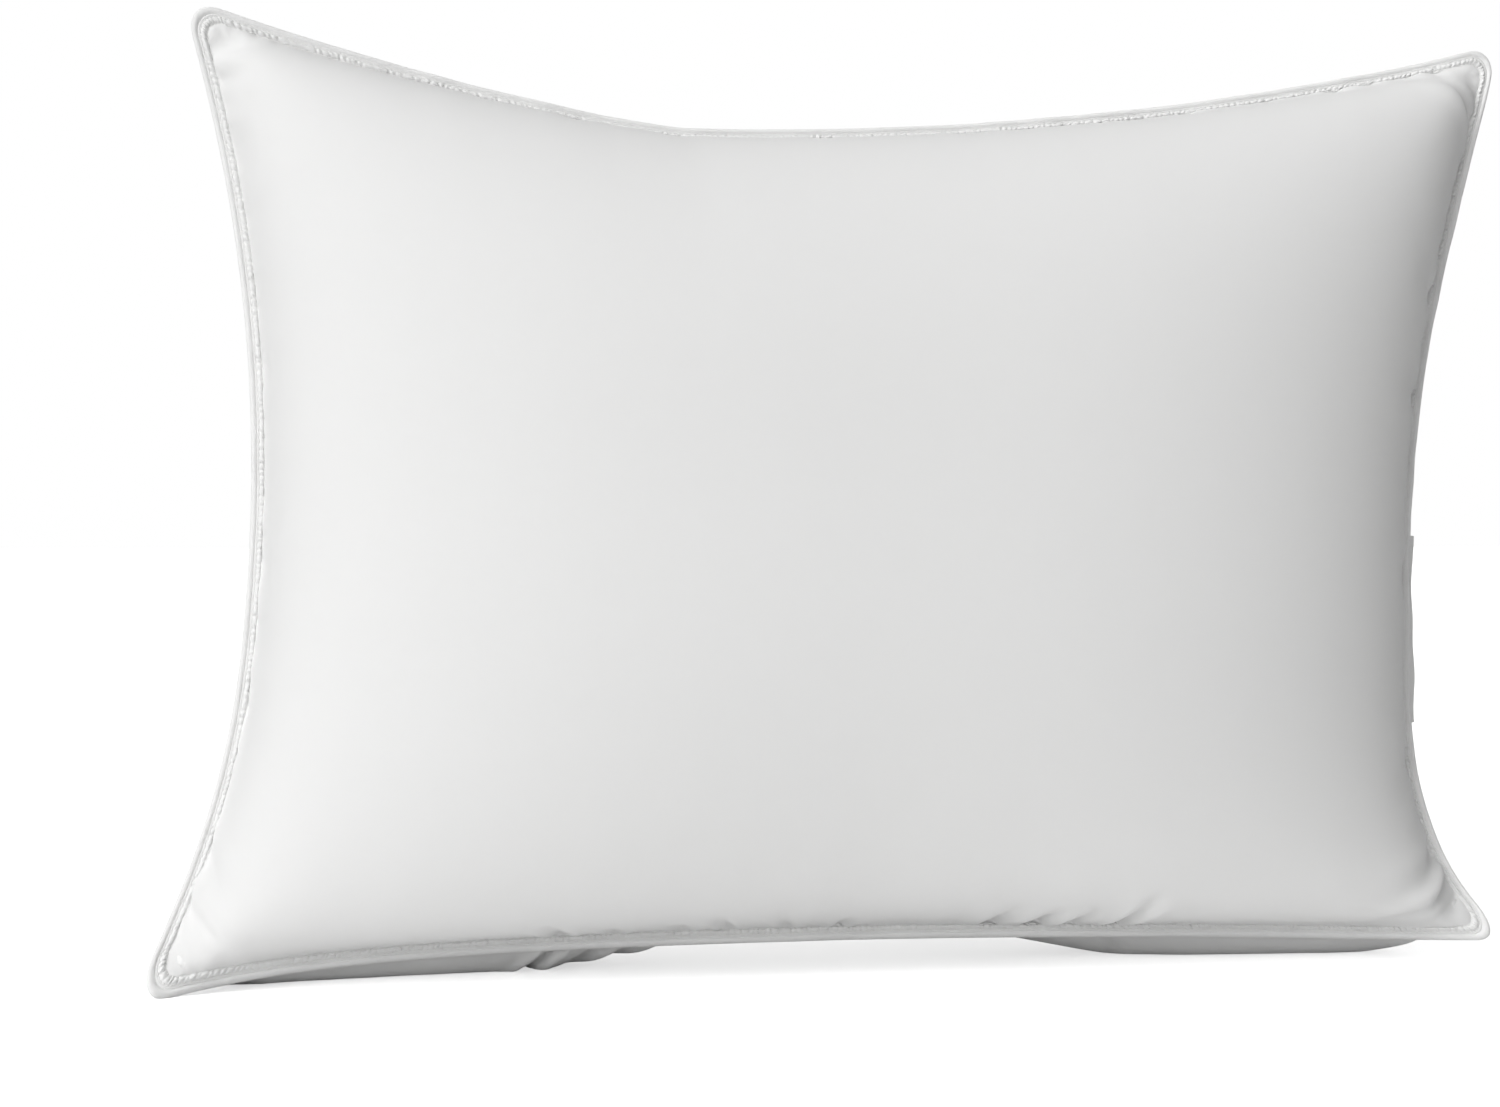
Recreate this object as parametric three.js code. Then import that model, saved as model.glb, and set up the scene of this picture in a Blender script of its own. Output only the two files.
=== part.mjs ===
// A bed pillow: two sewn panels, a fibre filling and a piped, double-stitched edge.
// It stands on its long lower edge and leans back a little. Millimetres, +Z up, front towards -Y.
// The origin is under the middle of the pillow, on the surface that it stands on.
import * as THREE from "three";

// Flat outline, over the piping. Filled and drawn in, the pillow is 660 wide and 456 high.
const SEWN_WIDTH = 666;
const SEWN_HEIGHT = 456;
const EAR_RADIUS = 19;

// How far filling draws each side in, where on it that is most, from -1 at its lower or left end
// to 1 at the other, and how closely it turns out again towards each of the two ends.
const LEFT_SIDE = { pull: 45, waist: -0.13, powers: [2.7, 2] };
const RIGHT_SIDE = { pull: 57, waist: -0.19, powers: [4, 2] };
const UPPER_SIDE = { pull: 56, waist: -0.28, powers: [1.3, 2.1] };
const LOWER_SIDE = { pull: 10, waist: 0, powers: [2, 2] };
const SWAY = 11; // how far right of the middle the upper side lies, and left of it the lower side

// How far each ear is turned to the right, upwards and forwards.
const EARS = {
  upperLeft: { right: 0, rise: 3, forward: 0 },
  upperRight: { right: -13, rise: -4, forward: 0 },
  lowerLeft: { right: 4, rise: -9, forward: 26 },
  lowerRight: { right: -7, rise: 4, forward: 8 },
};
const EAR_POWER = 6; // higher keeps these turns nearer to the tips

// Body of the pillow.
const CROWN = 103; // fullest height of each panel over the seam
const CROWN_POWER = 2.8; // higher gives a flatter middle and fuller sides
const RIM_POWER = 40; // higher gives a steeper start along the seam
const SETTLE = 0.1; // how much fuller the lower half is than the upper half
const LEAN = THREE.MathUtils.degToRad(6.5);
const SEAM_MIDDLE = 231.9; // height of the flat outline's middle
const SEAM_RIGHT = 2.2; // how far it lies to the right of the origin
const SEAM_BACK = 4.5; // and how far it stands behind the origin
const BACK_SAG = 60; // how far the filling sinks behind the lower seam
const FRONT_SAG = 8;
const SAG_RISE = 37; // height over the seam at which most of the sag is reached
const SAG_POWER = 3; // higher keeps the sag nearer to the lower edge
const ARCH_SAG = 0.2; // share of the sag that is left where the lower side arches, in the middle
const ARCH_HALF = 0.62; // how far out that arch reaches, as a share of half the width

// Edge: everything is laid out by its distance in from the outline and its height over the seam.
const CORD_RADIUS = 0.75;
const COVER_BORE = 1.15;
const COVER_RADIUS = 1.6;
const TAIL_END = 8;
const TAIL_LAYER = [0.15, 0.5];
const LIP_EDGE = 3.4;
const LIP_LAYER = [0.8, 1.4];
const CLOTH = LIP_LAYER[1] - LIP_LAYER[0];
const CROWN_START = 8.5;
const THREAD_RADIUS = 0.35;
const LAYER_GAP = 0.3;
const OUTER_ROW = 4.4;
const INNER_ROW = 7.4;
const THREAD_HEIGHT = LIP_LAYER[1] + LAYER_GAP + THREAD_RADIUS;
const CLOSING_ROW = (OUTER_ROW + INNER_ROW) / 2;
const CLOSING_LENGTH = 220;

// Sewn-in label, on the right short side.
const LABEL_LOW = -118; // its lower end, on the flat outline
const LABEL_WIDTH = 92;
const LABEL_CLOTH = 0.3;
const LABEL_ROW = 5.8;
const LABEL_MARGIN = 3;

// Mesh density.
const LONG_STEPS = 16;
const SHORT_STEPS = 11;
const EAR_STEPS = 4;
const CLOSING_STEPS = 8;
const LABEL_STEPS = 5;
const BEND_STEPS = 6;
const PANEL_RINGS = [0.985, 0.96, 0.93, 0.885, 0.83, 0.75, 0.64, 0.48, 0.26];
const FILL_RINGS = [0.95, 0.85, 0.7, 0.5, 0.25];
const FILL_SCALE = 0.972;

const HALF_WIDTH = SEWN_WIDTH / 2;
const HALF_HEIGHT = SEWN_HEIGHT / 2;
const FRONT = -1;
const BACK = 1;

// One place on the flat outline: a point and the direction that leads straight out from it.
const place = (p, q, outP, outQ) => ({ p, q, outP, outQ });
const inward = (at, distance) => [at.p - distance * at.outP, at.q - distance * at.outQ];

// Evenly spaced places along a straight side, both ends left out.
function sideOfOutline(from, to, outP, outQ, steps) {
  const places = [];
  for (let i = 1; i < steps; i += 1) {
    const p = THREE.MathUtils.lerp(from[0], to[0], i / steps);
    const q = THREE.MathUtils.lerp(from[1], to[1], i / steps);
    places.push(place(p, q, outP, outQ));
  }
  return places;
}

// The same with both ends, for a piece that runs along part of a side.
function stretchOfSide(from, to, outP, outQ, steps) {
  const between = sideOfOutline(from, to, outP, outQ, steps);
  return [place(...from, outP, outQ), ...between, place(...to, outP, outQ)];
}

function earOfOutline(centreP, centreQ, startAngle) {
  const places = [];
  for (let i = 0; i <= EAR_STEPS; i += 1) {
    const angle = startAngle + ((Math.PI / 2) * i) / EAR_STEPS;
    const outP = Math.cos(angle);
    const outQ = Math.sin(angle);
    places.push(place(centreP + EAR_RADIUS * outP, centreQ + EAR_RADIUS * outQ, outP, outQ));
  }
  return places;
}

// The whole outline as a flat rounded rectangle, anticlockwise from the lower right ear.
function flatOutline() {
  const p = HALF_WIDTH - EAR_RADIUS;
  const q = HALF_HEIGHT - EAR_RADIUS;
  return [
    ...earOfOutline(p, -q, -Math.PI / 2),
    ...sideOfOutline([HALF_WIDTH, -q], [HALF_WIDTH, q], 1, 0, SHORT_STEPS),
    ...earOfOutline(p, q, 0),
    ...sideOfOutline([p, HALF_HEIGHT], [-p, HALF_HEIGHT], 0, 1, LONG_STEPS),
    ...earOfOutline(-p, q, Math.PI / 2),
    ...sideOfOutline([-HALF_WIDTH, q], [-HALF_WIDTH, -q], -1, 0, SHORT_STEPS),
    ...earOfOutline(-p, -q, Math.PI),
    ...sideOfOutline([-p, -HALF_HEIGHT], [p, -HALF_HEIGHT], 0, -1, LONG_STEPS),
  ];
}

// How far a side is drawn in at a share of its length, from -1 at one end to 1 at the other.
function drawnIn({ pull, waist, powers }, share) {
  const turn = share < waist ? (waist - share) / (1 + waist) : (share - waist) / (1 - waist);
  return pull * (1 - turn ** powers[share < waist ? 0 : 1]);
}

// Where a point of the flat pattern lies on the seam's surface once the pillow is filled.
function seamPoint(p, q) {
  const across = p / HALF_WIDTH;
  const up = q / HALF_HEIGHT;
  const ear = EARS[(up < 0 ? "lower" : "upper") + (across < 0 ? "Left" : "Right")];
  const turned = Math.abs(across * up) ** EAR_POWER;
  const x = p - across * drawnIn(across < 0 ? LEFT_SIDE : RIGHT_SIDE, up) + SWAY * up;
  const down = ((1 + up) / 2) ** 2 * drawnIn(UPPER_SIDE, across);
  const lifted = ((1 - up) / 2) ** 2 * drawnIn(LOWER_SIDE, across);
  const rise = q - down + lifted + turned * ear.rise;
  const y = SEAM_BACK + rise * Math.sin(LEAN) - turned * ear.forward;
  const z = SEAM_MIDDLE + rise * Math.cos(LEAN);
  return new THREE.Vector3(SEAM_RIGHT + x + turned * ear.right, y, z);
}

// The seam surface's unit normal, towards the back.
function seamNormal(p, q) {
  const step = 0.5;
  const alongP = seamPoint(p + step, q).sub(seamPoint(p - step, q));
  const alongQ = seamPoint(p, q + step).sub(seamPoint(p, q - step));
  return alongQ.cross(alongP).normalize();
}

function overSeam(p, q, height) {
  return seamPoint(p, q).addScaledVector(seamNormal(p, q), height);
}

// How high a panel stands over the seam. ring runs from 0 in the middle to 1 where the crown starts.
function crownHeight(p, q, ring) {
  const across = Math.abs(p) / (HALF_WIDTH - CROWN_START);
  const up = q / (HALF_HEIGHT - CROWN_START);
  const swell = (1 - across ** CROWN_POWER) * (1 - Math.abs(up) ** CROWN_POWER);
  const rim = 1 - ring ** RIM_POWER;
  return CROWN * Math.sqrt(Math.max(0, swell * rim)) * (1 - SETTLE * up);
}

// How much of the sag there is at p: all of it at the two ends, which the pillow stands on.
function sagShare(p) {
  const out = Math.min(1, Math.abs(p) / HALF_WIDTH / ARCH_HALF);
  return THREE.MathUtils.lerp(ARCH_SAG, 1, Math.sin((out * Math.PI) / 2) ** 2);
}

// A point of a crown's outer face, or of a face that lies inside it when ring is scaled down.
// The filling sinks behind the lower seam until the cloth lies flat on the surface.
function crownPoint(at, ring, side) {
  const [edgeP, edgeQ] = inward(at, CROWN_START);
  const p = edgeP * ring;
  const q = edgeQ * ring;
  const height = crownHeight(p, q, ring);
  const point = overSeam(p, q, side * (LIP_LAYER[1] + height));
  const low = ((1 - q / HALF_HEIGHT) / 2) ** SAG_POWER;
  const sag = (side === BACK ? BACK_SAG : FRONT_SAG) * sagShare(p);
  point.z = Math.max(0, point.z - sag * low * (1 - Math.exp(-height / SAG_RISE)));
  return point;
}

// The triangles between each row of a grid and the next, each row closing on itself. The rows in
// turned, from its first to before its last, have their squares cut along the other diagonal.
function joinRows(rowCount, size, joins, turned = [0, 0]) {
  const indices = [];
  for (let r = 0; r < joins; r += 1) {
    const here = r * size;
    const there = ((r + 1) % rowCount) * size;
    for (let i = 0; i < size; i += 1) {
      const j = (i + 1) % size;
      if (r >= turned[0] && r < turned[1]) {
        indices.push(here + i, there + i, here + j, here + j, there + i, there + j);
      } else {
        indices.push(here + i, there + j, here + j, here + i, there + i, there + j);
      }
    }
  }
  return indices;
}

function solidOf(points, indices) {
  const geometry = new THREE.BufferGeometry();
  geometry.setFromPoints(points);
  geometry.setIndex(indices);
  geometry.computeVertexNormals();
  return geometry;
}

// Rows of points whose ends are closed by a fan to one point each.
function domedGeometry(rows, first, last, turned) {
  const size = rows[0].length;
  const indices = joinRows(rows.length, size, rows.length - 1, turned);
  const start = rows.length * size;
  const end = start + 1;
  const lastRow = (rows.length - 1) * size;
  for (let i = 0; i < size; i += 1) {
    const j = (i + 1) % size;
    indices.push(start, i, j, end, lastRow + j, lastRow + i);
  }
  return solidOf([...rows.flat(), first, last], indices);
}

// Moves each point of a panel's outer face inward by the cloth's thickness, square to the face.
function innerFace(rings, apex, side) {
  const size = rings[0].length;
  const inner = rings.map((ring, r) =>
    ring.map((point, i) => {
      const along = ring[(i + 1) % size].clone().sub(ring[(i + size - 1) % size]);
      const before = rings[Math.max(0, r - 1)][i];
      const after = r + 1 < rings.length ? rings[r + 1][i] : apex;
      const across = after.clone().sub(before);
      const outward = across.cross(along).normalize().multiplyScalar(side);
      return point.clone().addScaledVector(outward, -CLOTH);
    }),
  );
  return [inner, apex.clone().addScaledVector(seamNormal(0, 0), -side * CLOTH)];
}

// A panel's cloth. The outer face's squares are cut like the inner face's, seen from one side, so
// that the two faces of the thin cloth never cross.
function panelGeometry(outline, side) {
  const lipRing = (distance, layer) =>
    outline.map((at) => overSeam(...inward(at, distance), side * LIP_LAYER[layer]));
  const crown = PANEL_RINGS.map((ring) => outline.map((at) => crownPoint(at, ring, side)));
  const outer = [lipRing(LIP_EDGE, 1), lipRing(CROWN_START, 1), ...crown];
  const apex = crownPoint(outline[0], 0, side);
  const [inner, innerApex] = innerFace(outer, apex, side);
  inner[0] = lipRing(LIP_EDGE, 0);
  const rows = [...outer.reverse(), ...inner];
  if (side === FRONT) {
    return domedGeometry(rows, apex, innerApex, [0, inner.length]);
  }
  return domedGeometry(rows.reverse(), innerApex, apex, [inner.length, rows.length]);
}

// The filling is the space between the crowns, drawn in evenly so that it stays clear of the cloth.
function fillingGeometry(outline) {
  const middle = new THREE.Vector3(SEAM_RIGHT, SEAM_BACK, SEAM_MIDDLE);
  const drawIn = (point) => point.sub(middle).multiplyScalar(FILL_SCALE).add(middle);
  const face = (side) =>
    FILL_RINGS.map((ring) => outline.map((at) => drawIn(crownPoint(at, ring, side))));
  const rim = outline.map((at) => drawIn(overSeam(...inward(at, CROWN_START), 0)));
  const rows = [...face(FRONT).reverse(), rim, ...face(BACK)];
  const apex = (side) => drawIn(crownPoint(outline[0], 0, side));
  return domedGeometry(rows, apex(FRONT), apex(BACK));
}

// A section of [distance in, height over the seam] points, set up at each place in turn.
function sectionRows(places, section) {
  return places.map((at) =>
    section.map(([distance, height]) => overSeam(...inward(at, distance), height)),
  );
}

// The section carried round the whole outline.
function edgeLoopGeometry(outline, section) {
  const rows = sectionRows(outline, section);
  return solidOf(rows.flat(), joinRows(rows.length, section.length, rows.length));
}

// The section carried along part of the outline, with flat ends.
function edgeStripGeometry(places, section) {
  const rows = sectionRows(places, section);
  const indices = joinRows(rows.length, section.length, rows.length - 1);
  const lastRow = (rows.length - 1) * section.length;
  const flat = section.map(([distance, height]) => new THREE.Vector2(distance, height));
  THREE.ShapeUtils.triangulateShape(flat, []).forEach(([a, b, c]) => {
    indices.push(a, b, c, lastRow + a, lastRow + c, lastRow + b);
  });
  return solidOf(rows.flat(), indices);
}

function arc(centre, radius, fromDegrees, toDegrees, steps) {
  const points = [];
  for (let i = 0; i <= steps; i += 1) {
    const degrees = THREE.MathUtils.lerp(fromDegrees, toDegrees, i / steps);
    const angle = THREE.MathUtils.degToRad(degrees);
    points.push([centre + radius * Math.cos(angle), radius * Math.sin(angle)]);
  }
  return points;
}

// The bias strip in section: round the cord, then two tails that lie between the panels' lips.
function coverSection() {
  const outside = THREE.MathUtils.radToDeg(Math.asin(TAIL_LAYER[1] / COVER_RADIUS));
  const inside = THREE.MathUtils.radToDeg(Math.asin(TAIL_LAYER[0] / COVER_BORE));
  return [
    [TAIL_END, TAIL_LAYER[1]],
    ...arc(COVER_RADIUS, COVER_RADIUS, outside, 360 - outside, BEND_STEPS),
    [TAIL_END, -TAIL_LAYER[1]],
    [TAIL_END, -TAIL_LAYER[0]],
    ...arc(COVER_RADIUS, COVER_BORE, 360 - inside, inside, BEND_STEPS),
    [TAIL_END, TAIL_LAYER[0]],
  ];
}

function threadSection(row, height) {
  return [
    [row + THREAD_RADIUS, height],
    [row, height + THREAD_RADIUS],
    [row - THREAD_RADIUS, height],
    [row, height - THREAD_RADIUS],
  ];
}

// The label's section: its sewn edge lies on the back lip, steps over a thread, sticks out past the
// piping and turns backwards.
function labelSection() {
  const bed = LIP_LAYER[1] + LAYER_GAP;
  const route = [
    [6.1, bed],
    [5.3, bed],
    [4.5, 3],
    [1.5, 3.2],
    [-2, 3.8],
    [-4.6, 5.6],
    [-5.8, 9],
    [-6.2, 18],
    [-5.2, 32],
    [-3, 46],
  ];
  const lifted = route.map(([distance, height]) => [distance + LABEL_CLOTH, height + LABEL_CLOTH]);
  return [...lifted, ...route.reverse()];
}

const material = (color, roughness) =>
  new THREE.MeshStandardMaterial({ color, roughness, metalness: 0 });
const cotton = material(0xf2f2f0, 0.85);
const bias = material(0xf6f6f5, 0.8);
const fibre = material(0xfafafa, 0.95);
const yarn = material(0xe9e9e7, 0.7);
const tape = material(0xf8f8f6, 0.75);

const pillow = new THREE.Group();

function addPiece(name, geometry, look) {
  const mesh = new THREE.Mesh(geometry, look);
  mesh.name = name;
  pillow.add(mesh);
}

const outline = flatOutline();

addPiece("front_panel", panelGeometry(outline, FRONT), cotton);
addPiece("back_panel", panelGeometry(outline, BACK), cotton);
addPiece("fibre_filling", fillingGeometry(outline), fibre);

const cordSection = arc(COVER_RADIUS, CORD_RADIUS, 0, 300, BEND_STEPS - 1);
addPiece("piping_cord", edgeLoopGeometry(outline, cordSection), fibre);
addPiece("piping_cover", edgeLoopGeometry(outline, coverSection()), bias);

const faces = { front: FRONT, back: BACK };
const seamRows = { outer: OUTER_ROW, inner: INNER_ROW };
for (const [face, side] of Object.entries(faces)) {
  for (const [name, row] of Object.entries(seamRows)) {
    const section = threadSection(row, side * THREAD_HEIGHT);
    addPiece(`${name}_seam_${face}_thread`, edgeLoopGeometry(outline, section), yarn);
  }
}

const closingPlaces = stretchOfSide(
  [-CLOSING_LENGTH / 2, -HALF_HEIGHT],
  [CLOSING_LENGTH / 2, -HALF_HEIGHT],
  0,
  -1,
  CLOSING_STEPS,
);
const closingSection = threadSection(CLOSING_ROW, THREAD_HEIGHT);
addPiece("closing_seam_thread", edgeStripGeometry(closingPlaces, closingSection), yarn);

// Places along the label's sewn edge, with a margin left at each end.
function labelPlaces(margin) {
  const low = [HALF_WIDTH, LABEL_LOW + margin];
  const high = [HALF_WIDTH, LABEL_LOW + LABEL_WIDTH - margin];
  return stretchOfSide(low, high, 1, 0, LABEL_STEPS);
}
addPiece("law_label", edgeStripGeometry(labelPlaces(0), labelSection()), tape);

const stitchHeight = THREAD_HEIGHT + LABEL_CLOTH + LAYER_GAP;
const stitchSection = threadSection(LABEL_ROW, stitchHeight);
addPiece("law_label_stitch", edgeStripGeometry(labelPlaces(LABEL_MARGIN), stitchSection), yarn);

export default pillow;
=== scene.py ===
"""The looks of the bed pillow: its cloth, piped and double-stitched edge, label, light and camera.

Lengths are in millimetres until a mesh is made, and every mesh is in metres in the CAD model's frame.
A place on the cloth is given by p and q on the flat pattern, and a place along the edge by s, its
distance along the outline from the middle of the right side, anticlockwise as seen from the front.
"""

import math

import bpy
import numpy as np
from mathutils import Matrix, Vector


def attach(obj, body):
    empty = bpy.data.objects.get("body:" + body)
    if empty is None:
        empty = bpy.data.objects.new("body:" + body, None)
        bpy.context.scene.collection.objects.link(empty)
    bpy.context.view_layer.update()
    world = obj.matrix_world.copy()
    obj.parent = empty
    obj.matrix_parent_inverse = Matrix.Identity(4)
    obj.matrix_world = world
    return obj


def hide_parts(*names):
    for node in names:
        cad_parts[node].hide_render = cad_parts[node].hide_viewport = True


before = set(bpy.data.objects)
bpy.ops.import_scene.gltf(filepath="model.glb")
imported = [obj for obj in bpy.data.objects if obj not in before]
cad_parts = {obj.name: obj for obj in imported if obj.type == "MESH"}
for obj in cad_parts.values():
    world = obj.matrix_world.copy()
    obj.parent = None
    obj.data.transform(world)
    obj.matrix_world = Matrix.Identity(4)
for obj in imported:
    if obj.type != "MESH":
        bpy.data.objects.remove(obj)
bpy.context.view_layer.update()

MM = 0.001
FRONT = -1
BACK = 1

# Flat outline over the piping, and how filling draws it in: the same values as in the CAD model.
HALF_WIDTH = 333
HALF_HEIGHT = 228
EAR_RADIUS = 19
LEFT_SIDE = {"pull": 45, "waist": -0.13, "powers": (2.7, 2.0)}
RIGHT_SIDE = {"pull": 57, "waist": -0.19, "powers": (4.0, 2.0)}
UPPER_SIDE = {"pull": 56, "waist": -0.28, "powers": (1.3, 2.1)}
LOWER_SIDE = {"pull": 10, "waist": 0.0, "powers": (2.0, 2.0)}
SWAY = 11
EARS = {  # (across, up): right, rise, forward
    (-1, 1): (0, 3, 0),
    (1, 1): (-13, -4, 0),
    (-1, -1): (4, -9, 26),
    (1, -1): (-7, 4, 8),
}
EAR_POWER = 6
CROWN = 103
CROWN_POWER = 2.8
CROWN_START = 8.5
RIM_POWER = 40
SETTLE = 0.1
LEAN = math.radians(6.5)
SEAM_MIDDLE = 231.9
SEAM_RIGHT = 2.2
SEAM_BACK = 4.5
SAG = {BACK: 60, FRONT: 8}
SAG_RISE = 37
SAG_POWER = 3
ARCH_SAG = 0.2
ARCH_HALF = 0.62
LIP_TOP = 1.4

# Edge, by distance in from the outline and height over the seam.
PIPING_RADIUS = 1.6
CORD_RADIUS = 0.8
LIP_EDGE = 3.1
OUTER_ROW = 4.4
INNER_ROW = 7.4
ROW_GROOVE = 0.55
STITCH_PITCH = 3.1
STITCH_LENGTH = 2.5
THREAD_RADIUS = 0.22
PUCKER_PITCH = 2.9
EDGE_STEP = 0.62
CLOSING_LENGTH = 220
LOWER_TUCK = 0.6  # how far the lower flange is turned under, over its width
TUCK_START = 0.9  # the share of the half height below which it starts

# Label: its route in section, from its sewn edge over the piping and backwards, as distance in from
# the outline and height behind the seam.
LABEL_LOW = -118
LABEL_WIDTH = 92
LABEL_ROW = 5.8
LABEL_MARGIN = 3
LABEL_CLOTH = 0.3
LABEL_ROUTE = [
    (6.6, 2.5),
    (5.2, 2.6),
    (3.5, 2.8),
    (1.5, 3.0),
    (-2.0, 3.7),
    (-4.6, 5.6),
    (-5.8, 9.0),
    (-6.2, 18.0),
    (-5.2, 32.0),
    (-3.0, 46.0),
]

# Cloth.
PANEL_CELLS = (368, 252)
RIM_CROWDING = 0.7  # how much closer the grid's lines lie at the seam than in the middle
RIM_LINES = 4.0
TAUT = -0.002  # how much the filling stretches the cloth in the middle of a panel
GATHER = 0.017  # spare cloth along the seam, over what the filled shape needs
GATHER_DEPTH = 38  # how far in from the seam it fades
CLOTH_REACH = 13  # how far the cloth may settle away from the filled shape
FLOOR_GAP = 0.3
EAR_FLAT = 17  # how far from an ear's tip the cloth still lies nearly flat
CARRY = 0.92  # how much of its motion the cloth keeps from one round to the next
PRESSURE = 0.02
STIFFNESS = 0.1
BIAS_HOLD = 0.35  # how firmly the cloth holds its length across the threads
CLOTH_LEVELS = ((4, 14, 260), (2, 3, 200))  # grid stride, rounds of evening, rounds of settling

# Soft folds, in groups along a side of the pillow. A side is named by the way it faces, across and
# up. Then come where the group begins and ends, in shares of the side's half length, how many folds
# it has, how far in they reach, how far they lean outwards over their reach, how deep they are and
# how wide.
RIGHT, LEFT, TOP, BOTTOM = (1, 0), (-1, 0), (0, 1), (0, -1)
FOLD_GROUPS = [
    (BOTTOM, -0.4, 0.0, 6, 34, 0.2, 2.4, 4),
    (BOTTOM, 0.2, 0.4, 4, 45, 0.25, 3.8, 4.5),
    (TOP, -0.6, 0.5, 7, 30, 0.2, 1.4, 6),
    (TOP, 0.7, 0.9, 3, 22, 0.3, 1.7, 5),
    (LEFT, -0.4, 0.6, 4, 24, 0.1, 1.4, 8),
    (LEFT, -0.8, -0.7, 2, 45, 0.7, 2.8, 6),
    (LEFT, 0.8, 0.9, 3, 34, 0.1, 2.8, 5.5),
    (RIGHT, -0.5, 0.4, 4, 55, 0.1, 2.0, 8),
    (RIGHT, -0.9, -0.75, 4, 60, 0.1, 3.0, 5),
    (RIGHT, 0.8, 0.9, 2, 40, -0.7, 3.2, 6.5),
]
FOLD_RISE = 3.5  # how far from the seam a fold reaches its depth


# ---------------------------------------------------------------- flat outline and seam surface


def drawn_in(side, share):
    low = share < side["waist"]
    span = np.where(low, 1 + side["waist"], 1 - side["waist"])
    power = np.where(low, *side["powers"])
    return side["pull"] * (1 - (np.abs(share - side["waist"]) / span) ** power)


def seam_point(p, q):
    """Where a place on the flat pattern lies on the seam's surface once the pillow is filled."""
    across = p / HALF_WIDTH
    up = q / HALF_HEIGHT
    turned = np.abs(across * up) ** EAR_POWER
    ear = np.zeros(np.shape(p) + (3,))
    for (side, level), turn in EARS.items():
        here = (np.sign(across) == side) & (np.sign(up) == level)
        ear += np.where(here, turned, 0)[..., None] * turn
    pull = np.where(across < 0, drawn_in(LEFT_SIDE, up), drawn_in(RIGHT_SIDE, up))
    x = SEAM_RIGHT + p - across * pull + SWAY * up
    down = ((1 + up) / 2) ** 2 * drawn_in(UPPER_SIDE, across)
    lifted = ((1 - up) / 2) ** 2 * drawn_in(LOWER_SIDE, across)
    rise = q - down + lifted + ear[..., 1]
    y = SEAM_BACK + rise * math.sin(LEAN) - ear[..., 2]
    return np.stack([x + ear[..., 0], y, SEAM_MIDDLE + rise * math.cos(LEAN)], -1)


def unit(v):
    return v / np.maximum(np.linalg.norm(v, axis=-1, keepdims=True), 1e-9)


def seam_normal(p, q):
    """The seam surface's normal, towards the back."""
    along_p = seam_point(p + 0.5, q) - seam_point(p - 0.5, q)
    along_q = seam_point(p, q + 0.5) - seam_point(p, q - 0.5)
    return unit(np.cross(along_q, along_p))


QUARTER = (HALF_HEIGHT - EAR_RADIUS) + EAR_RADIUS * math.pi / 2 + (HALF_WIDTH - EAR_RADIUS)
PERIMETER = 4 * QUARTER


def edge_place(p, q):
    """The place along the outline that is nearest to a place on the pattern, and its distance in."""
    beyond_p = np.abs(p) - (HALF_WIDTH - EAR_RADIUS)
    beyond_q = np.abs(q) - (HALF_HEIGHT - EAR_RADIUS)
    in_ear = (beyond_p > 0) & (beyond_q > 0)
    angle = np.arctan2(np.maximum(beyond_q, 0), np.maximum(beyond_p, 1e-9))
    beside = beyond_p > beyond_q
    ear_start = HALF_HEIGHT - EAR_RADIUS
    on_side = np.minimum(np.abs(q), ear_start)
    on_top = ear_start + EAR_RADIUS * math.pi / 2 + np.maximum(0, -beyond_p)
    s = np.where(in_ear, ear_start + EAR_RADIUS * angle, np.where(beside, on_side, on_top))
    straight = EAR_RADIUS - np.maximum(beyond_p, beyond_q)
    d = np.where(in_ear, EAR_RADIUS - np.hypot(beyond_p, beyond_q), straight)
    upper = q >= 0
    s = np.where(p >= 0, np.where(upper, s, PERIMETER - s), 2 * QUARTER + np.where(upper, -s, s))
    return s, d


def outline_at(s, d):
    """The place on the pattern at s along the outline and d in from it."""
    s = np.mod(s, PERIMETER)
    turn = np.floor(s / QUARTER).astype(int)
    part = s - turn * QUARTER
    mirrored = turn % 2 == 1
    part = np.where(mirrored, QUARTER - part, part)
    ear_start = HALF_HEIGHT - EAR_RADIUS
    angle = np.clip((part - ear_start) / EAR_RADIUS, 0, math.pi / 2)
    after = np.maximum(0, part - ear_start - EAR_RADIUS * math.pi / 2)
    p = HALF_WIDTH - EAR_RADIUS - after + (EAR_RADIUS - d) * np.cos(angle)
    q = np.minimum(part, ear_start) + (EAR_RADIUS - d) * np.sin(angle)
    left = (turn == 1) | (turn == 2)
    return np.where(left, -p, p), np.where(turn >= 2, -q, q)


# ---------------------------------------------------------------- irregular detail along the edge


def wander(s, period, seed):
    """A smooth irregular wave along the closed outline, from about -1 to 1."""
    count = max(4, round(PERIMETER / period))
    knots = np.random.default_rng(seed).uniform(-1, 1, count)
    at = np.mod(s / PERIMETER, 1) * count
    i = np.floor(at).astype(int)
    f = at - i
    before, here, there, beyond = (knots[(i + k) % count] for k in (-1, 0, 1, 2))
    bend = 2 * before - 5 * here + 4 * there - beyond
    twist = 3 * (here - there) + beyond - before
    return here + 0.5 * f * (there - before + f * (bend + f * twist))


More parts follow.
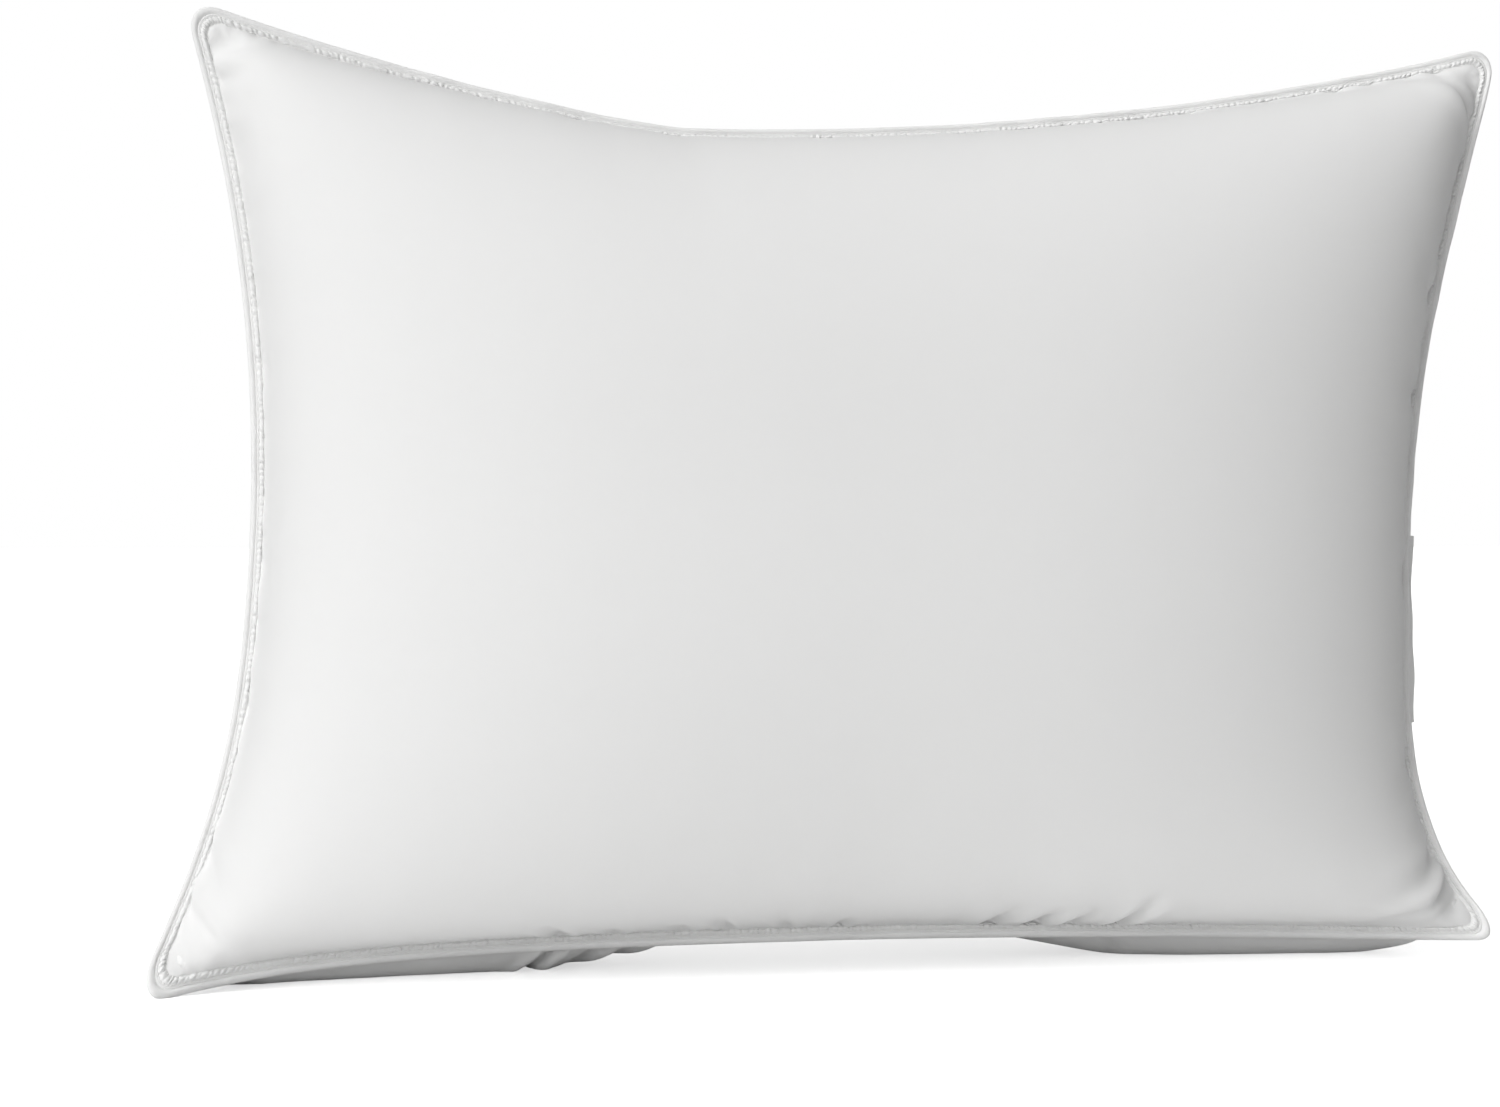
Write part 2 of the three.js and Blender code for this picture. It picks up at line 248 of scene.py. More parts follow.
def creases(s, d, start, period, width, reach, slant, seed):
    """Narrow creases that leave a stitched row at start and fade over their reach, from 0 to 1."""
    count = round(PERIMETER / period)
    rng = np.random.default_rng(seed)
    jitter = rng.uniform(-0.33, 0.33, count)
    depth = rng.uniform(0.25, 1, count)
    lean = rng.uniform(-slant, slant, count)
    length = reach * rng.uniform(0.45, 1.5, count)
    wide = width * rng.uniform(0.7, 1.35, count)
    cell = np.floor(s / PERIMETER * count).astype(int)
    far = np.maximum(0, d - start)
    total = np.zeros(np.shape(s))
    for step in (-1, 0, 1):
        k = (cell + step) % count
        centre = (cell + step + 0.5 + jitter[k]) * PERIMETER / count
        off = (s - centre - lean[k] * (d - start)) / (wide[k] * (1 + far / (3 * reach)))
        total += depth[k] * np.exp(-(off**2)) * np.exp(-far / length[k])
    return total


def wobble(s, d):
    """How far the whole edge waves out of its plane."""
    return (0.9 * wander(s, 34, 11) + 0.45 * wander(s, 13, 12)) * np.exp(-np.maximum(d, 0) / 26)


def tuck(p, q, d):
    """How far the lower flange is turned under, to the back."""
    lower = np.clip((-q / HALF_HEIGHT - TUCK_START) * 20, 0, 1)
    between_ears = np.clip((1 - np.abs(p) / HALF_WIDTH) * 8, 0, 1)
    return LOWER_TUCK * (lower * between_ears) * np.maximum(0, INNER_ROW - d)


def over_seam(p, q, height):
    s, d = edge_place(p, q)
    out = height + wobble(s, d) + tuck(p, q, d)
    return seam_point(p, q) + seam_normal(p, q) * out[..., None]


def flange_height(s, d):
    """Height of the flange's cloth over the seam, with its two stitched rows and the puckers."""
    rows = np.exp(-(((d - OUTER_ROW) / 0.5) ** 2)) + np.exp(-(((d - INNER_ROW) / 0.6) ** 2))
    roll = 1 - np.exp(-np.maximum(0, d - LIP_EDGE) / 0.35)
    between = np.clip((d - OUTER_ROW) / (INNER_ROW - OUTER_ROW), 0, 1)
    puff = np.sin(math.pi * between)
    pucker = creases(s, d, OUTER_ROW, PUCKER_PITCH, width=0.5, reach=40, slant=0.25, seed=21)
    pucker = np.minimum(pucker, 1.1)
    swell = 0.3 * wander(s, 8, 22)
    height = 0.35 + 1.05 * roll - ROW_GROOVE * rows
    return height + puff * (0.95 + swell - 1.45 * pucker) - 0.15 * pucker * roll


# ---------------------------------------------------------------- cloth panels


def sag_share(p):
    """How much of the sag there is at p: all of it at the two ends, which the pillow stands on."""
    out = np.minimum(1, np.abs(p) / HALF_WIDTH / ARCH_HALF)
    return ARCH_SAG + (1 - ARCH_SAG) * np.sin(out * math.pi / 2) ** 2


def crown_target(p, q, side):
    """The filled panel's smooth shape, as in the CAD model, with flat ears."""
    across = np.abs(p) / (HALF_WIDTH - CROWN_START)
    up = q / (HALF_HEIGHT - CROWN_START)
    ring = np.minimum(1, np.maximum(across, np.abs(up)))
    swell = (1 - across**CROWN_POWER) * (1 - np.abs(up) ** CROWN_POWER) * (1 - ring**RIM_POWER)
    from_tip = np.hypot(HALF_WIDTH - CROWN_START - np.abs(p), HALF_HEIGHT - CROWN_START - np.abs(q))
    filled = 1 - np.exp(-((from_tip / EAR_FLAT) ** 3))
    height = CROWN * np.sqrt(np.maximum(0, swell)) * (1 - SETTLE * up) * filled
    point = over_seam(p, q, side * (LIP_TOP + height))
    low = ((1 - q / HALF_HEIGHT) / 2) ** SAG_POWER
    point[..., 2] -= SAG[side] * sag_share(p) * low * (1 - np.exp(-height / SAG_RISE))
    return point


def line_insets(half, cells):
    """Distances in from the outline of a grid's lines, closer together at the seam."""
    k = np.arange(cells // 2 + 1)
    shift = RIM_CROWDING * RIM_LINES * (1 - np.exp(-k / RIM_LINES))
    return INNER_ROW + (half - INNER_ROW) * (k - shift) / (k[-1] - shift[-1])


def panel_pattern():
    """The pattern place of each grid point: a rectangle's grid, bent round the four ears."""
    lines = []
    for half, cells in zip((HALF_WIDTH, HALF_HEIGHT), PANEL_CELLS):
        inset = line_insets(half, cells)
        lines.append(np.concatenate([inset - half, (half - inset)[-2::-1]]))
    x, y = np.meshgrid(*lines, indexing="ij")
    u, v = HALF_WIDTH - np.abs(x), HALF_HEIGHT - np.abs(y)
    m, t = np.minimum(u, v), np.abs(u - v)
    r = np.maximum(EAR_RADIUS - m, 0)
    angle = math.pi / 4 * (1 - np.minimum(1, t / np.maximum(r, 1e-9)))
    near, far = m + r * (1 - np.cos(angle)), m + r * (1 - np.sin(angle))
    bent = t < r
    beside = u <= v
    u = np.where(bent, np.where(beside, near, far), u)
    v = np.where(bent, np.where(beside, far, near), v)
    return np.sign(x) * (HALF_WIDTH - u), np.sign(y) * (HALF_HEIGHT - v)


def refine(grid, axis):
    """Doubles the grid's lines along one axis on a smooth curve through the old ones."""
    grid = np.moveaxis(grid, axis, 0)
    first, last = 2 * grid[0] - grid[1], 2 * grid[-1] - grid[-2]
    wide = np.concatenate([first[None], grid, last[None]])
    middle = (9 * (wide[1:-2] + wide[2:-1]) - wide[:-3] - wide[3:]) / 16
    fine = np.empty((2 * len(grid) - 1,) + grid.shape[1:])
    fine[::2], fine[1::2] = grid, middle
    return np.moveaxis(fine, 0, axis)


def spread_line(places, points, flat):
    """Moves the places along one line of the grid until their spacing follows the flat cloth's."""
    reach = np.concatenate([[0], np.cumsum(np.linalg.norm(np.diff(points, axis=0), axis=1))])
    wanted = np.concatenate([[0], np.cumsum(np.linalg.norm(np.diff(flat, axis=0), axis=1))])
    wanted *= reach[-1] / wanted[-1]
    moved = [np.interp(wanted, reach, places[:, k]) for k in (0, 1)]
    return np.stack(moved, 1)


def slide_evenly(places, flat, side, rounds):
    """Slides the grid over the filled shape until no part of the cloth is stretched more than others."""
    for _ in range(rounds):
        points = crown_target(places[..., 0], places[..., 1], side)
        for i in range(1, len(places) - 1):
            places[i] = spread_line(places[i], points[i], flat[i])
        points = crown_target(places[..., 0], places[..., 1], side)
        for j in range(1, places.shape[1] - 1):
            places[:, j] = spread_line(places[:, j], points[:, j], flat[:, j])
    return places


def cut_scale(side):
    """The cut cloth's width and height over the flat outline's, from the way across the middle."""
    scales = []
    share = np.sin(np.linspace(-math.pi / 2, math.pi / 2, 2000))
    for axis, half in enumerate((HALF_WIDTH - INNER_ROW, HALF_HEIGHT - INNER_ROW)):
        way = [np.zeros_like(share), np.zeros_like(share)]
        way[axis] = share * half
        points = crown_target(*way, side)
        scales.append(np.linalg.norm(np.diff(points, axis=0), axis=1).sum() / (2 * half))
    return np.array(scales)


def grid_normals(points):
    along, across = np.gradient(points, axis=0), np.gradient(points, axis=1)
    return unit(np.cross(along, across))


def spare_cloth(places, seed):
    """How much longer the threads along p and along q are than the filled shape they lie on."""
    p, q = places[..., 0], places[..., 1]
    s, _ = edge_place(p, q)
    gathered = GATHER * np.clip(0.45 + 0.75 * wander(s, 120, seed), 0, 1.2)
    along_p = gathered * np.exp(-(HALF_HEIGHT - np.abs(q)) / GATHER_DEPTH)
    along_q = gathered * np.exp(-(HALF_WIDTH - np.abs(p)) / GATHER_DEPTH)
    return TAUT + along_p, TAUT + along_q


def thread_links(shape, spare):
    """Pairs of grid slices that the cloth's threads and bias hold at their own length."""
    whole, ahead, behind = slice(None), slice(1, None), slice(None, -1)
    kinds = [(whole, whole, 1.0), (behind, ahead, BIAS_HOLD), (ahead, behind, BIAS_HOLD)]
    links = []
    for axis in (0, 1):
        for near, far, strength in kinds if axis == 0 else kinds[:1]:
            for start in (0, 1):
                a = [near, near]
                b = [far, far]
                count = shape.shape[axis]
                a[axis] = slice(start, count - 1, 2)
                b[axis] = slice(start + 1, count, 2)
                a, b = tuple(a), tuple(b)
                share = spare[axis] if near == far else (spare[0] + spare[1]) / 2
                rest = np.linalg.norm(shape[b] - shape[a], axis=-1) * (1 + (share[a] + share[b]) / 2)
                links.append((a, b, rest, strength))
    return links


def relax_cloth(points, target, spare, side, rounds):
    """Lets the cloth settle: the fibre pushes it out, its threads hold, and the floor stops it."""
    links = thread_links(target, spare)
    rim = points.copy()
    was = points.copy()
    edge = on_border(points.shape[:2])
    for _ in range(rounds):
        normal = grid_normals(points) * -side
        short = np.sum((target - points) * normal, axis=-1, keepdims=True)
        push = PRESSURE + 0.02 * np.clip(short, -8, 8)
        points, was = points + CARRY * (points - was) + push * normal, points
        for a, b, rest, strength in links:
            gap = points[b] - points[a]
            length = np.linalg.norm(gap, axis=-1)
            excess = (length - rest) / np.maximum(length, 1e-6)
            move = gap * (0.5 * strength * np.where(excess > 0, excess, 0.5 * excess))[..., None]
            points[a] += move
            points[b] -= move
        bend = np.zeros_like(points)
        inner = points[1:-1, 1:-1]
        around = points[2:, 1:-1] + points[:-2, 1:-1] + points[1:-1, 2:] + points[1:-1, :-2]
        bend[1:-1, 1:-1] = around / 4 - inner
        spread = bend[2:, 1:-1] + bend[:-2, 1:-1] + bend[1:-1, 2:] + bend[1:-1, :-2]
        points[1:-1, 1:-1] += STIFFNESS * (bend[1:-1, 1:-1] - spread / 4)
        away = points - target
        far = np.linalg.norm(away, axis=-1, keepdims=True)
        points = target + away * np.minimum(1, CLOTH_REACH / np.maximum(far, 1e-6))
        points[..., 2] = np.maximum(points[..., 2], FLOOR_GAP)
        points[edge] = rim[edge]
    return points


def on_border(shape):
    edge = np.ones(shape, bool)
    edge[1:-1, 1:-1] = False
    return edge


def cloth_panel(side):
    """Grid points of a settled panel, at the finest level, and their places on the flat cloth."""
    cloth = np.stack(panel_pattern(), -1)
    cut = cloth * cut_scale(side)
    places = cloth[::4, ::4].copy()
    points = None
    for stride, slides, rounds in CLOTH_LEVELS:
        flat = cut[::stride, ::stride]
        places = slide_evenly(places, flat, side, slides)
        target = crown_target(places[..., 0], places[..., 1], side)
        target[..., 2] = np.maximum(target[..., 2], FLOOR_GAP)
        edge = on_border(target.shape[:2])
        groove = side * (LIP_TOP - ROW_GROOVE)
        target[edge] = over_seam(places[edge][:, 0], places[edge][:, 1], groove)
        if points is None:
            points = target + np.random.default_rng(31 + side).normal(0, 0.4, target.shape)
        points[edge] = target[edge]
        spare = spare_cloth(places, 61 + side)
        points = relax_cloth(points, target, spare, side, rounds)
        points = refine(refine(points, 0), 1)
        places = refine(refine(places, 0), 1)
        rim = on_border(places.shape[:2])
        places[rim] = cloth[:: stride // 2, :: stride // 2][rim]
    return points, cloth[..., 0], cloth[..., 1]


def add_creases(points, p, q, side):
    """Small puckers that the stitched row draws into the cloth beside it."""
    s, d = edge_place(p, q)
    fine = creases(s, d, INNER_ROW, period=5.2, width=1.3, reach=4, slant=0.5, seed=41 + side)
    long = creases(s, d, INNER_ROW, period=13, width=2.8, reach=9, slant=0.35, seed=43 + side)
    rise = 1 - np.exp(-np.maximum(0, d - INNER_ROW) / 1.2)
    depth = rise * (0.6 * fine + 1.1 * long)
    return points - grid_normals(points) * (-side * depth)[..., None]


def side_place(facing, along, inset):
    """The place on the pattern at a distance along a side from its middle and inset from it."""
    across, up = facing
    p = across * (HALF_WIDTH - inset) + abs(up) * along
    q = up * (HALF_HEIGHT - inset) + abs(across) * along
    return p, q


def fold_lines():
    """Each fold's place at the seam, the place where it fades, its depth and its width."""
    rng = np.random.default_rng(71)
    for facing, first, last, count, reach, lean, depth, width in FOLD_GROUPS:
        half = HALF_HEIGHT if facing in (LEFT, RIGHT) else HALF_WIDTH
        gap = half * (last - first) / count
        for along in half * np.linspace(first, last, count):
            start = along + rng.uniform(-0.35, 0.35) * gap
            inward = reach * rng.uniform(0.65, 1.2)
            end = start + math.copysign(inward * lean, along)
            deep, wide = depth * rng.uniform(0.5, 1.15), width * rng.uniform(0.85, 1.15)
            near = side_place(facing, start, INNER_ROW)
            far = side_place(facing, end, INNER_ROW + inward)
            yield near, far, deep, wide


def add_folds(points, p, q, side):
    """The soft folds: valleys between two raised shoulders, mirrored on the back."""
    p = p * -side
    depth = np.zeros_like(p)
    for (p0, q0), (p1, q1), deep, wide in fold_lines():
        run = math.hypot(p1 - p0, q1 - q0)
        along = ((p - p0) * (p1 - p0) + (q - q0) * (q1 - q0)) / run**2
        widening = 0.75 + 0.5 * np.clip(along, 0, 1)
        off = ((p - p0) * (q1 - q0) - (q - q0) * (p1 - p0)) / run / wide / widening
        fade = np.clip(1 - along**2, 0, 1) * (along > -1)
        shoulders = np.exp(-((off - 1.8) ** 2)) + np.exp(-((off + 1.8) ** 2))
        depth += deep * fade * (np.exp(-(off**2)) - 0.45 * shoulders)
    inset = edge_place(p, q)[1] - INNER_ROW
    depth *= 1 - np.exp(-np.maximum(0, inset) / FOLD_RISE)
    return points - grid_normals(points) * (-side * depth)[..., None]


# ---------------------------------------------------------------- meshes


def make_object(name, points, faces, look, smooth=True):
    mesh = bpy.data.meshes.new(name)
    points = np.ascontiguousarray(np.reshape(points, (-1, 3)) * MM, dtype=np.float32)
    faces = np.ascontiguousarray(faces, dtype=np.int32)
    mesh.vertices.add(len(points))
    mesh.vertices.foreach_set("co", points.ravel())
    mesh.loops.add(faces.size)
    mesh.loops.foreach_set("vertex_index", faces.ravel())
    mesh.polygons.add(len(faces))
    mesh.polygons.foreach_set("loop_start", np.arange(0, faces.size, faces.shape[1], dtype=np.int32))
    mesh.polygons.foreach_set("use_smooth", np.full(len(faces), smooth))
    mesh.materials.append(look)
    mesh.update(calc_edges=True)
    mesh.validate()
    piece = bpy.data.objects.new(name, mesh)
    bpy.context.scene.collection.objects.link(piece)
    return piece


def grid_faces(rows, columns, close_rows=False, close_columns=False, flip=False):
    """Quads between neighbouring points of a grid that is stored row by row."""
    r = np.arange(rows if close_rows else rows - 1)
    c = np.arange(columns if close_columns else columns - 1)
    r, c = np.meshgrid(r, c, indexing="ij")
    r2, c2 = (r + 1) % rows, (c + 1) % columns
    corners = [r * columns + c, r * columns + c2, r2 * columns + c2, r2 * columns + c]
    if flip:
        corners.reverse()
    return np.stack([k.ravel() for k in corners], -1)


def edge_loop(name, section, look, closed=True, step=EDGE_STEP):
    """A section of (distance in, height) functions of s, carried round the outline."""
    count = round(PERIMETER / step)
    s = np.arange(count) * PERIMETER / count
    rows = [section_point(s, d, h) for d, h in section(s)]
    points = np.stack(rows, 1)
    faces = grid_faces(count, len(rows), close_rows=True, close_columns=closed)
    return make_object(name, points, faces, look)


def section_point(s, d, height):
    p, q = outline_at(s, d)
    return over_seam(p, q, height)


# ---------------------------------------------------------------- materials


def cloth_look(name, color, roughness, grain, bump, sheen):
    """Fine plain cloth: a faint uneven tone and a grain of crossed threads."""
    look = bpy.data.materials.new(name)
    look.use_nodes = True
    nodes, links = look.node_tree.nodes, look.node_tree.links
    shader = nodes["Principled BSDF"]
    shader.inputs["Roughness"].default_value = roughness
    shader.inputs["Specular IOR Level"].default_value = 0.25
    shader.inputs["Sheen Weight"].default_value = sheen
    shader.inputs["Sheen Roughness"].default_value = 0.5
    place = nodes.new("ShaderNodeTexCoord")
    tone = nodes.new("ShaderNodeTexNoise")
    tone.inputs["Scale"].default_value = 9
    tone.inputs["Detail"].default_value = 3
    links.new(place.outputs["Object"], tone.inputs["Vector"])
    mix = nodes.new("ShaderNodeMix")
    mix.data_type = "RGBA"
    dull = [c * 0.985 for c in color]
    mix.inputs["A"].default_value = (*dull, 1)
    mix.inputs["B"].default_value = (*color, 1)
    links.new(tone.outputs["Fac"], mix.inputs["Factor"])
    links.new(mix.outputs["Result"], shader.inputs["Base Color"])
    weave = nodes.new("ShaderNodeTexNoise")
    weave.inputs["Scale"].default_value = grain
    weave.inputs["Detail"].default_value = 2
    links.new(place.outputs["Object"], weave.inputs["Vector"])
    raised = nodes.new("ShaderNodeBump")
    raised.inputs["Strength"].default_value = 1
    raised.inputs["Distance"].default_value = bump
    links.new(weave.outputs["Fac"], raised.inputs["Height"])
    links.new(raised.outputs["Normal"], shader.inputs["Normal"])
    return look


cotton = cloth_look("fine_cotton", (0.88, 0.88, 0.875), 0.82, 1400, 0.00003, 0.06)
bias = cloth_look("bias_cotton", (0.9, 0.9, 0.895), 0.8, 1600, 0.00003, 0.06)
fibre = cloth_look("fibre", (0.93, 0.93, 0.925), 0.95, 500, 0.0004, 0.1)
yarn = cloth_look("thread", (0.88, 0.88, 0.87), 0.6, 4000, 0.00003, 0.05)
tape = cloth_look("label_tape", (0.91, 0.91, 0.9), 0.7, 1800, 0.00003, 0.02)


# ---------------------------------------------------------------- pieces


def claim(piece, slot, *nodes):
    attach(piece, "root")
    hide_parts(*nodes)
    return piece


def build_panel(name, node, side):
    """A panel's cloth inside the inner row, and every fourth point of it for the filling."""
    points, p, q = cloth_panel(side)
    points = add_creases(points, p, q, side)
    points = add_folds(points, p, q, side)
    points[..., 2] = np.maximum(points[..., 2], FLOOR_GAP)
    rows, columns = p.shape
    faces = grid_faces(rows, columns, flip=side == BACK)
    panel = claim(make_object(name, points, faces, cotton), "shell_cotton", node)
    return points[::4, ::4]


def build_flange(name, side):
    """The strip of the panel's cloth that is stitched down beside the piping."""
    over = np.linspace(LIP_EDGE + 0.1, INNER_ROW + 0.2, 17)

    def section(s):
        top = [(d, side * flange_height(s, np.full_like(s, d))) for d in over]
        under = [(d, np.full_like(s, side * 0.1)) for d in (INNER_ROW + 0.2, OUTER_ROW, LIP_EDGE)]
        return (top + under)[:: -side]

    flange = edge_loop(name, section, cotton)
    return claim(flange, "shell_cotton")


def build_piping():
    """The bias strip round its cord: a round bead with a tail that is sewn between the panels."""

    def section(s):
        around = np.radians(np.linspace(25, 335, 15))
        swell = 1 + 0.05 * wander(s, 5, 51) + 0.03 * wander(s, 2.4, 52)
        bead = [
            (PIPING_RADIUS + PIPING_RADIUS * math.cos(a), PIPING_RADIUS * math.sin(a) * swell)
            for a in around
        ]
        tail = [(INNER_ROW, np.full_like(s, -0.06)), (INNER_ROW, np.full_like(s, 0.06))]
        return (bead + tail)[::-1]

    return claim(edge_loop("piping_bias", section, bias), "bias_cotton", "piping_cover")


def build_cord():
    def section(s):
        around = np.radians(np.arange(8) * 45)
        return [
            (PIPING_RADIUS + CORD_RADIUS * math.cos(a), np.full_like(s, CORD_RADIUS * math.sin(a)))
            for a in around
        ][::-1]

    return claim(edge_loop("piping_filler", section, fibre, step=2.5), "fibre", "piping_cord")


def build_stitches(name, node, row, side, start=0.0, length=PERIMETER, bed=None):
    """One row of stitches, each a short bowed thread whose ends dive into the cloth."""
    count = round(length / STITCH_PITCH)
    rng = np.random.default_rng(seed_of(name))
    s = start + (np.arange(count) + 0.5) * length / count
    s = s + rng.uniform(-0.12, 0.12, count)
    shares = np.array([-0.5, -0.44, -0.25, 0.0, 0.25, 0.44, 0.5])
    lifts = np.array([-0.35, 0.0, 0.22, 0.28, 0.22, 0.0, -0.35])
    slim = np.array([0.35, 0.8, 1.0, 1.0, 1.0, 0.8, 0.35])
    along = s[:, None] + shares * STITCH_LENGTH
    d = np.full_like(along, row) + rng.uniform(-0.12, 0.12, count)[:, None]
    under = flange_height(np.repeat(s[:, None], len(shares), 1), d) if bed is None else bed
    height = under + lifts
    p, q = outline_at(along, d)
    centre = over_seam(p, q, side * height)
    forward = unit(np.gradient(centre, axis=1))
    up = seam_normal(p, q) * side
    across = unit(np.cross(forward, up))
    angles = np.radians(np.arange(6) * 60)
    radius = (THREAD_RADIUS * slim)[None, :, None, None]
    ring = across[:, :, None] * np.cos(angles)[:, None] + up[:, :, None] * np.sin(angles)[:, None]
    points = centre[:, :, None] + radius * ring
    tube = grid_faces(len(shares), 6, close_columns=True, flip=True)
    size = len(shares) * 6
    faces = (tube[None] + (np.arange(count) * size)[:, None, None]).reshape(-1, 4)
    return claim(make_object(name, points, faces, yarn), "thread", node)


def seed_of(name):
    return sum((i + 1) * ord(c) for i, c in enumerate(name))


def build_filling(front, back):
    """The fibre, drawn in from both panels so that it stays inside them."""
    middle = np.array([SEAM_RIGHT, SEAM_BACK, SEAM_MIDDLE])
    rows, columns = front.shape[:2]
    half = [(side - middle) * 0.985 + middle for side in (front, back)]
    points = np.concatenate([h.reshape(-1, 3) for h in half])
    near = grid_faces(rows, columns)
    far = grid_faces(rows, columns, flip=True) + rows * columns
    border = np.concatenate([
        np.arange(0, columns),
        np.arange(1, rows) * columns + columns - 1,
        (rows - 1) * columns + np.arange(columns - 2, -1, -1),
        np.arange(rows - 2, 0, -1) * columns,
    ])
    ahead = np.roll(border, -1)
    rim = np.stack([border, border + rows * columns, ahead + rows * columns, ahead], -1)
    filling = make_object("fibre_fill", points, np.concatenate([near, far, rim]), fibre)
    claim(filling, "fibre", "fibre_filling")


def build_label(sewn_to):
    """A blank tape that is sewn to the back lip, sticks out past the piping and turns backwards."""
    route = np.array(LABEL_ROUTE)
    for _ in range(3):
        route = refine(route, 0)
    step = np.gradient(route, axis=0)
    face = unit(np.stack([step[:, 1], -step[:, 0]], 1)) * LABEL_CLOTH
    share = np.linspace(0, 1, len(route))
    ring = np.concatenate([route, (route + face)[::-1]])
    free = np.concatenate([share, share[::-1]]) ** 2
    q = np.linspace(LABEL_LOW, LABEL_LOW + LABEL_WIDTH, 62)[:, None]
    wave = free * (1.6 * np.sin(q / 11 + 0.6) + 0.8 * np.sin(q / 4.7))
    along = np.broadcast_to(q, wave.shape)
    points = section_point(along, ring[:, 0] + wave, ring[:, 1] - 1.2 * free * np.cos(q / 17))
    around = grid_faces(len(q), len(ring), close_columns=True, flip=True)
    k = np.arange(len(route) - 1)
    low_end = np.stack([k, k + 1, len(ring) - 2 - k, len(ring) - 1 - k], -1)
    high_end = low_end[:, ::-1] + (len(q) - 1) * len(ring)
    faces = np.concatenate([around, low_end, high_end])
    label = claim(make_object("blank_label", points, faces, tape), "label_tape", "law_label")


front_points = build_panel("front_cloth", "front_panel", FRONT)
back_points = build_panel("back_cloth", "back_panel", BACK)
build_filling(front_points, back_points)
build_flange("front_flange", FRONT)
back_flange = build_flange("back_flange", BACK)
build_piping()
build_cord()
for face, side in (("front", FRONT), ("back", BACK)):
    for row_name, row in (("outer", OUTER_ROW), ("inner", INNER_ROW)):
        build_stitches(f"{face}_{row_name}_stitches", f"{row_name}_seam_{face}_thread", row, side)
build_stitches(
    "closing_stitches",
    "closing_seam_thread",
    (OUTER_ROW + INNER_ROW) / 2,
    BACK,
    start=3 * QUARTER - CLOSING_LENGTH / 2,
    length=CLOSING_LENGTH,
)
build_label(back_flange)
build_stitches(
    "label_stitches",
    "law_label_stitch",
    LABEL_ROW,
    BACK,
    start=LABEL_LOW + LABEL_MARGIN,
    length=LABEL_WIDTH - 2 * LABEL_MARGIN,
    bed=LABEL_ROUTE[0][1] + LABEL_CLOTH + THREAD_RADIUS,
)


# ---------------------------------------------------------------- floor, light and camera


def build_floor():
    """A white floor, which gives back less light to the pillow than the eye sees of it."""
    bpy.ops.mesh.primitive_plane_add(size=40)
    floor = bpy.context.object
    floor.name = "floor"
    look = bpy.data.materials.new("floor")
    look.use_nodes = True
    nodes, links = look.node_tree.nodes, look.node_tree.links
    seen = nodes["Principled BSDF"]
    seen.inputs["Base Color"].default_value = (1, 1, 1, 1)
    seen.inputs["Roughness"].default_value = 0.9
    seen.inputs["Specular IOR Level"].default_value = 0.0
    seen.inputs["Emission Color"].default_value = (1, 1, 1, 1)
    seen.inputs["Emission Strength"].default_value = 0.6
    given = nodes.new("ShaderNodeBsdfDiffuse")
    given.inputs["Color"].default_value = (0.8, 0.8, 0.8, 1)
    ray = nodes.new("ShaderNodeLightPath")
    mix = nodes.new("ShaderNodeMixShader")
    links.new(ray.outputs["Is Camera Ray"], mix.inputs["Fac"])
    links.new(given.outputs["BSDF"], mix.inputs[1])
    links.new(seen.outputs["BSDF"], mix.inputs[2])
    links.new(mix.outputs["Shader"], nodes["Material Output"].inputs["Surface"])
    floor.data.materials.append(look)


def add_sun(name, azimuth, elevation, spread, strength):
    """A soft sun: azimuth is where it stands, from the front towards +X, in degrees."""
    data = bpy.data.lights.new(name, "SUN")
    data.angle = math.radians(spread)
    data.energy = strength
    light = bpy.data.objects.new(name, data)
    turn, rise = math.radians(azimuth), math.radians(elevation)
    way = [-math.sin(turn) * math.cos(rise), math.cos(turn) * math.cos(rise), -math.sin(rise)]
    light.rotation_euler = look_along(way)
    bpy.context.scene.collection.objects.link(light)


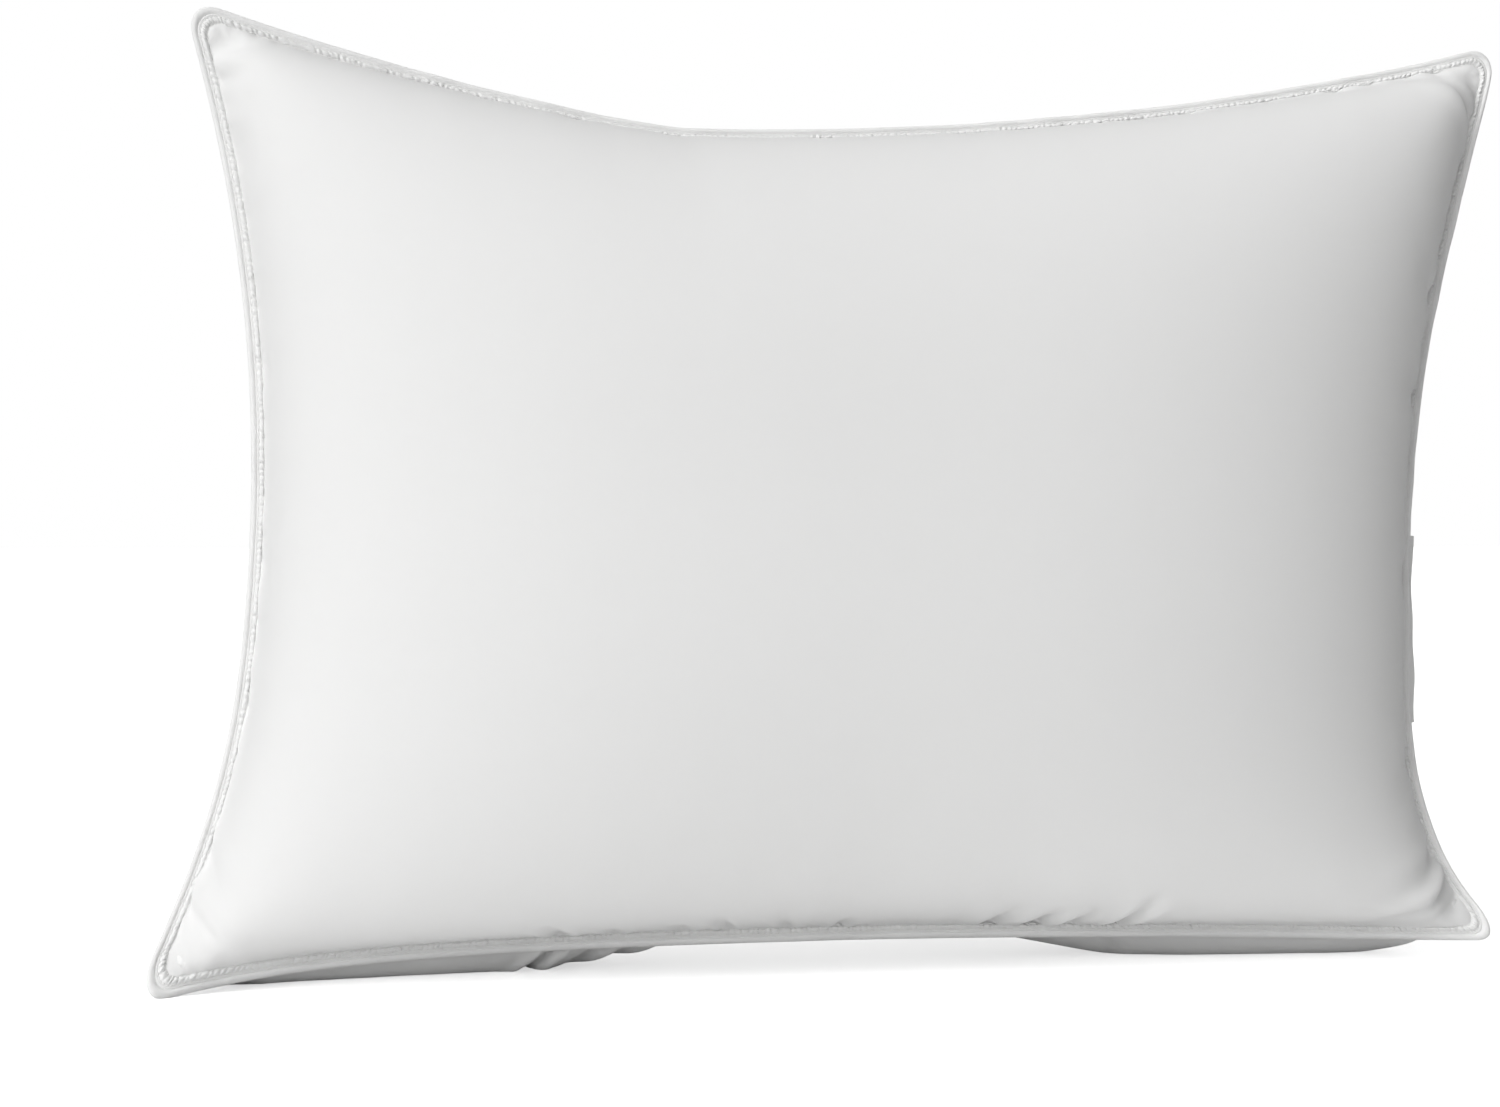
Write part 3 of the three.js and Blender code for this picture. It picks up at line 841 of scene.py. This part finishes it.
def add_card(name, place, size, power):
    """A card of light that lies on the floor and faces up, as a reflector would."""
    data = bpy.data.lights.new(name, "AREA")
    data.shape = "RECTANGLE"
    data.size, data.size_y = size
    data.energy = power
    light = bpy.data.objects.new(name, data)
    light.location = place
    light.rotation_euler = (math.pi, 0, 0)
    light.visible_camera = False
    bpy.context.scene.collection.objects.link(light)


def look_along(way):
    return Vector(way).to_track_quat("-Z", "Y").to_euler()


def light_scene():
    world = bpy.data.worlds.new("studio")
    bpy.context.scene.world = world
    world.use_nodes = True
    nodes, links = world.node_tree.nodes, world.node_tree.links
    shade = nodes["Background"]
    shade.inputs["Color"].default_value = (1, 1, 1, 1)
    shade.inputs["Strength"].default_value = 0
    seen = nodes.new("ShaderNodeBackground")
    seen.inputs["Color"].default_value = (1, 1, 1, 1)
    seen.inputs["Strength"].default_value = 1.0
    ray = nodes.new("ShaderNodeLightPath")
    mix = nodes.new("ShaderNodeMixShader")
    links.new(ray.outputs["Is Camera Ray"], mix.inputs["Fac"])
    links.new(shade.outputs["Background"], mix.inputs[1])
    links.new(seen.outputs["Background"], mix.inputs[2])
    links.new(mix.outputs["Shader"], nodes["World Output"].inputs["Surface"])
    add_sun("key", azimuth=-45, elevation=25, spread=50, strength=2.2)
    add_sun("top", azimuth=-20, elevation=80, spread=60, strength=1.0)
    add_sun("behind", azimuth=150, elevation=35, spread=60, strength=0.6)
    add_card("bounce", place=(0, -0.12, 0.003), size=(0.7, 0.16), power=0.055)
    scene = bpy.context.scene
    scene.view_settings.view_transform = "Standard"


def place_camera():
    azimuth, elevation, distance = math.radians(-8), math.radians(0.69), 1.2
    aim = np.array([-0.0529, 0, 0.1976])
    away = np.array([
        math.sin(azimuth) * math.cos(elevation),
        -math.cos(azimuth) * math.cos(elevation),
        math.sin(elevation),
    ])
    data = bpy.data.cameras.new("camera")
    data.lens = 60.5
    data.sensor_width = 36
    data.clip_end = 50
    camera = bpy.data.objects.new("camera", data)
    camera.location = aim + away * distance
    camera.rotation_euler = look_along(-away)
    bpy.context.scene.collection.objects.link(camera)
    bpy.context.scene.camera = camera


build_floor()
light_scene()
place_camera()
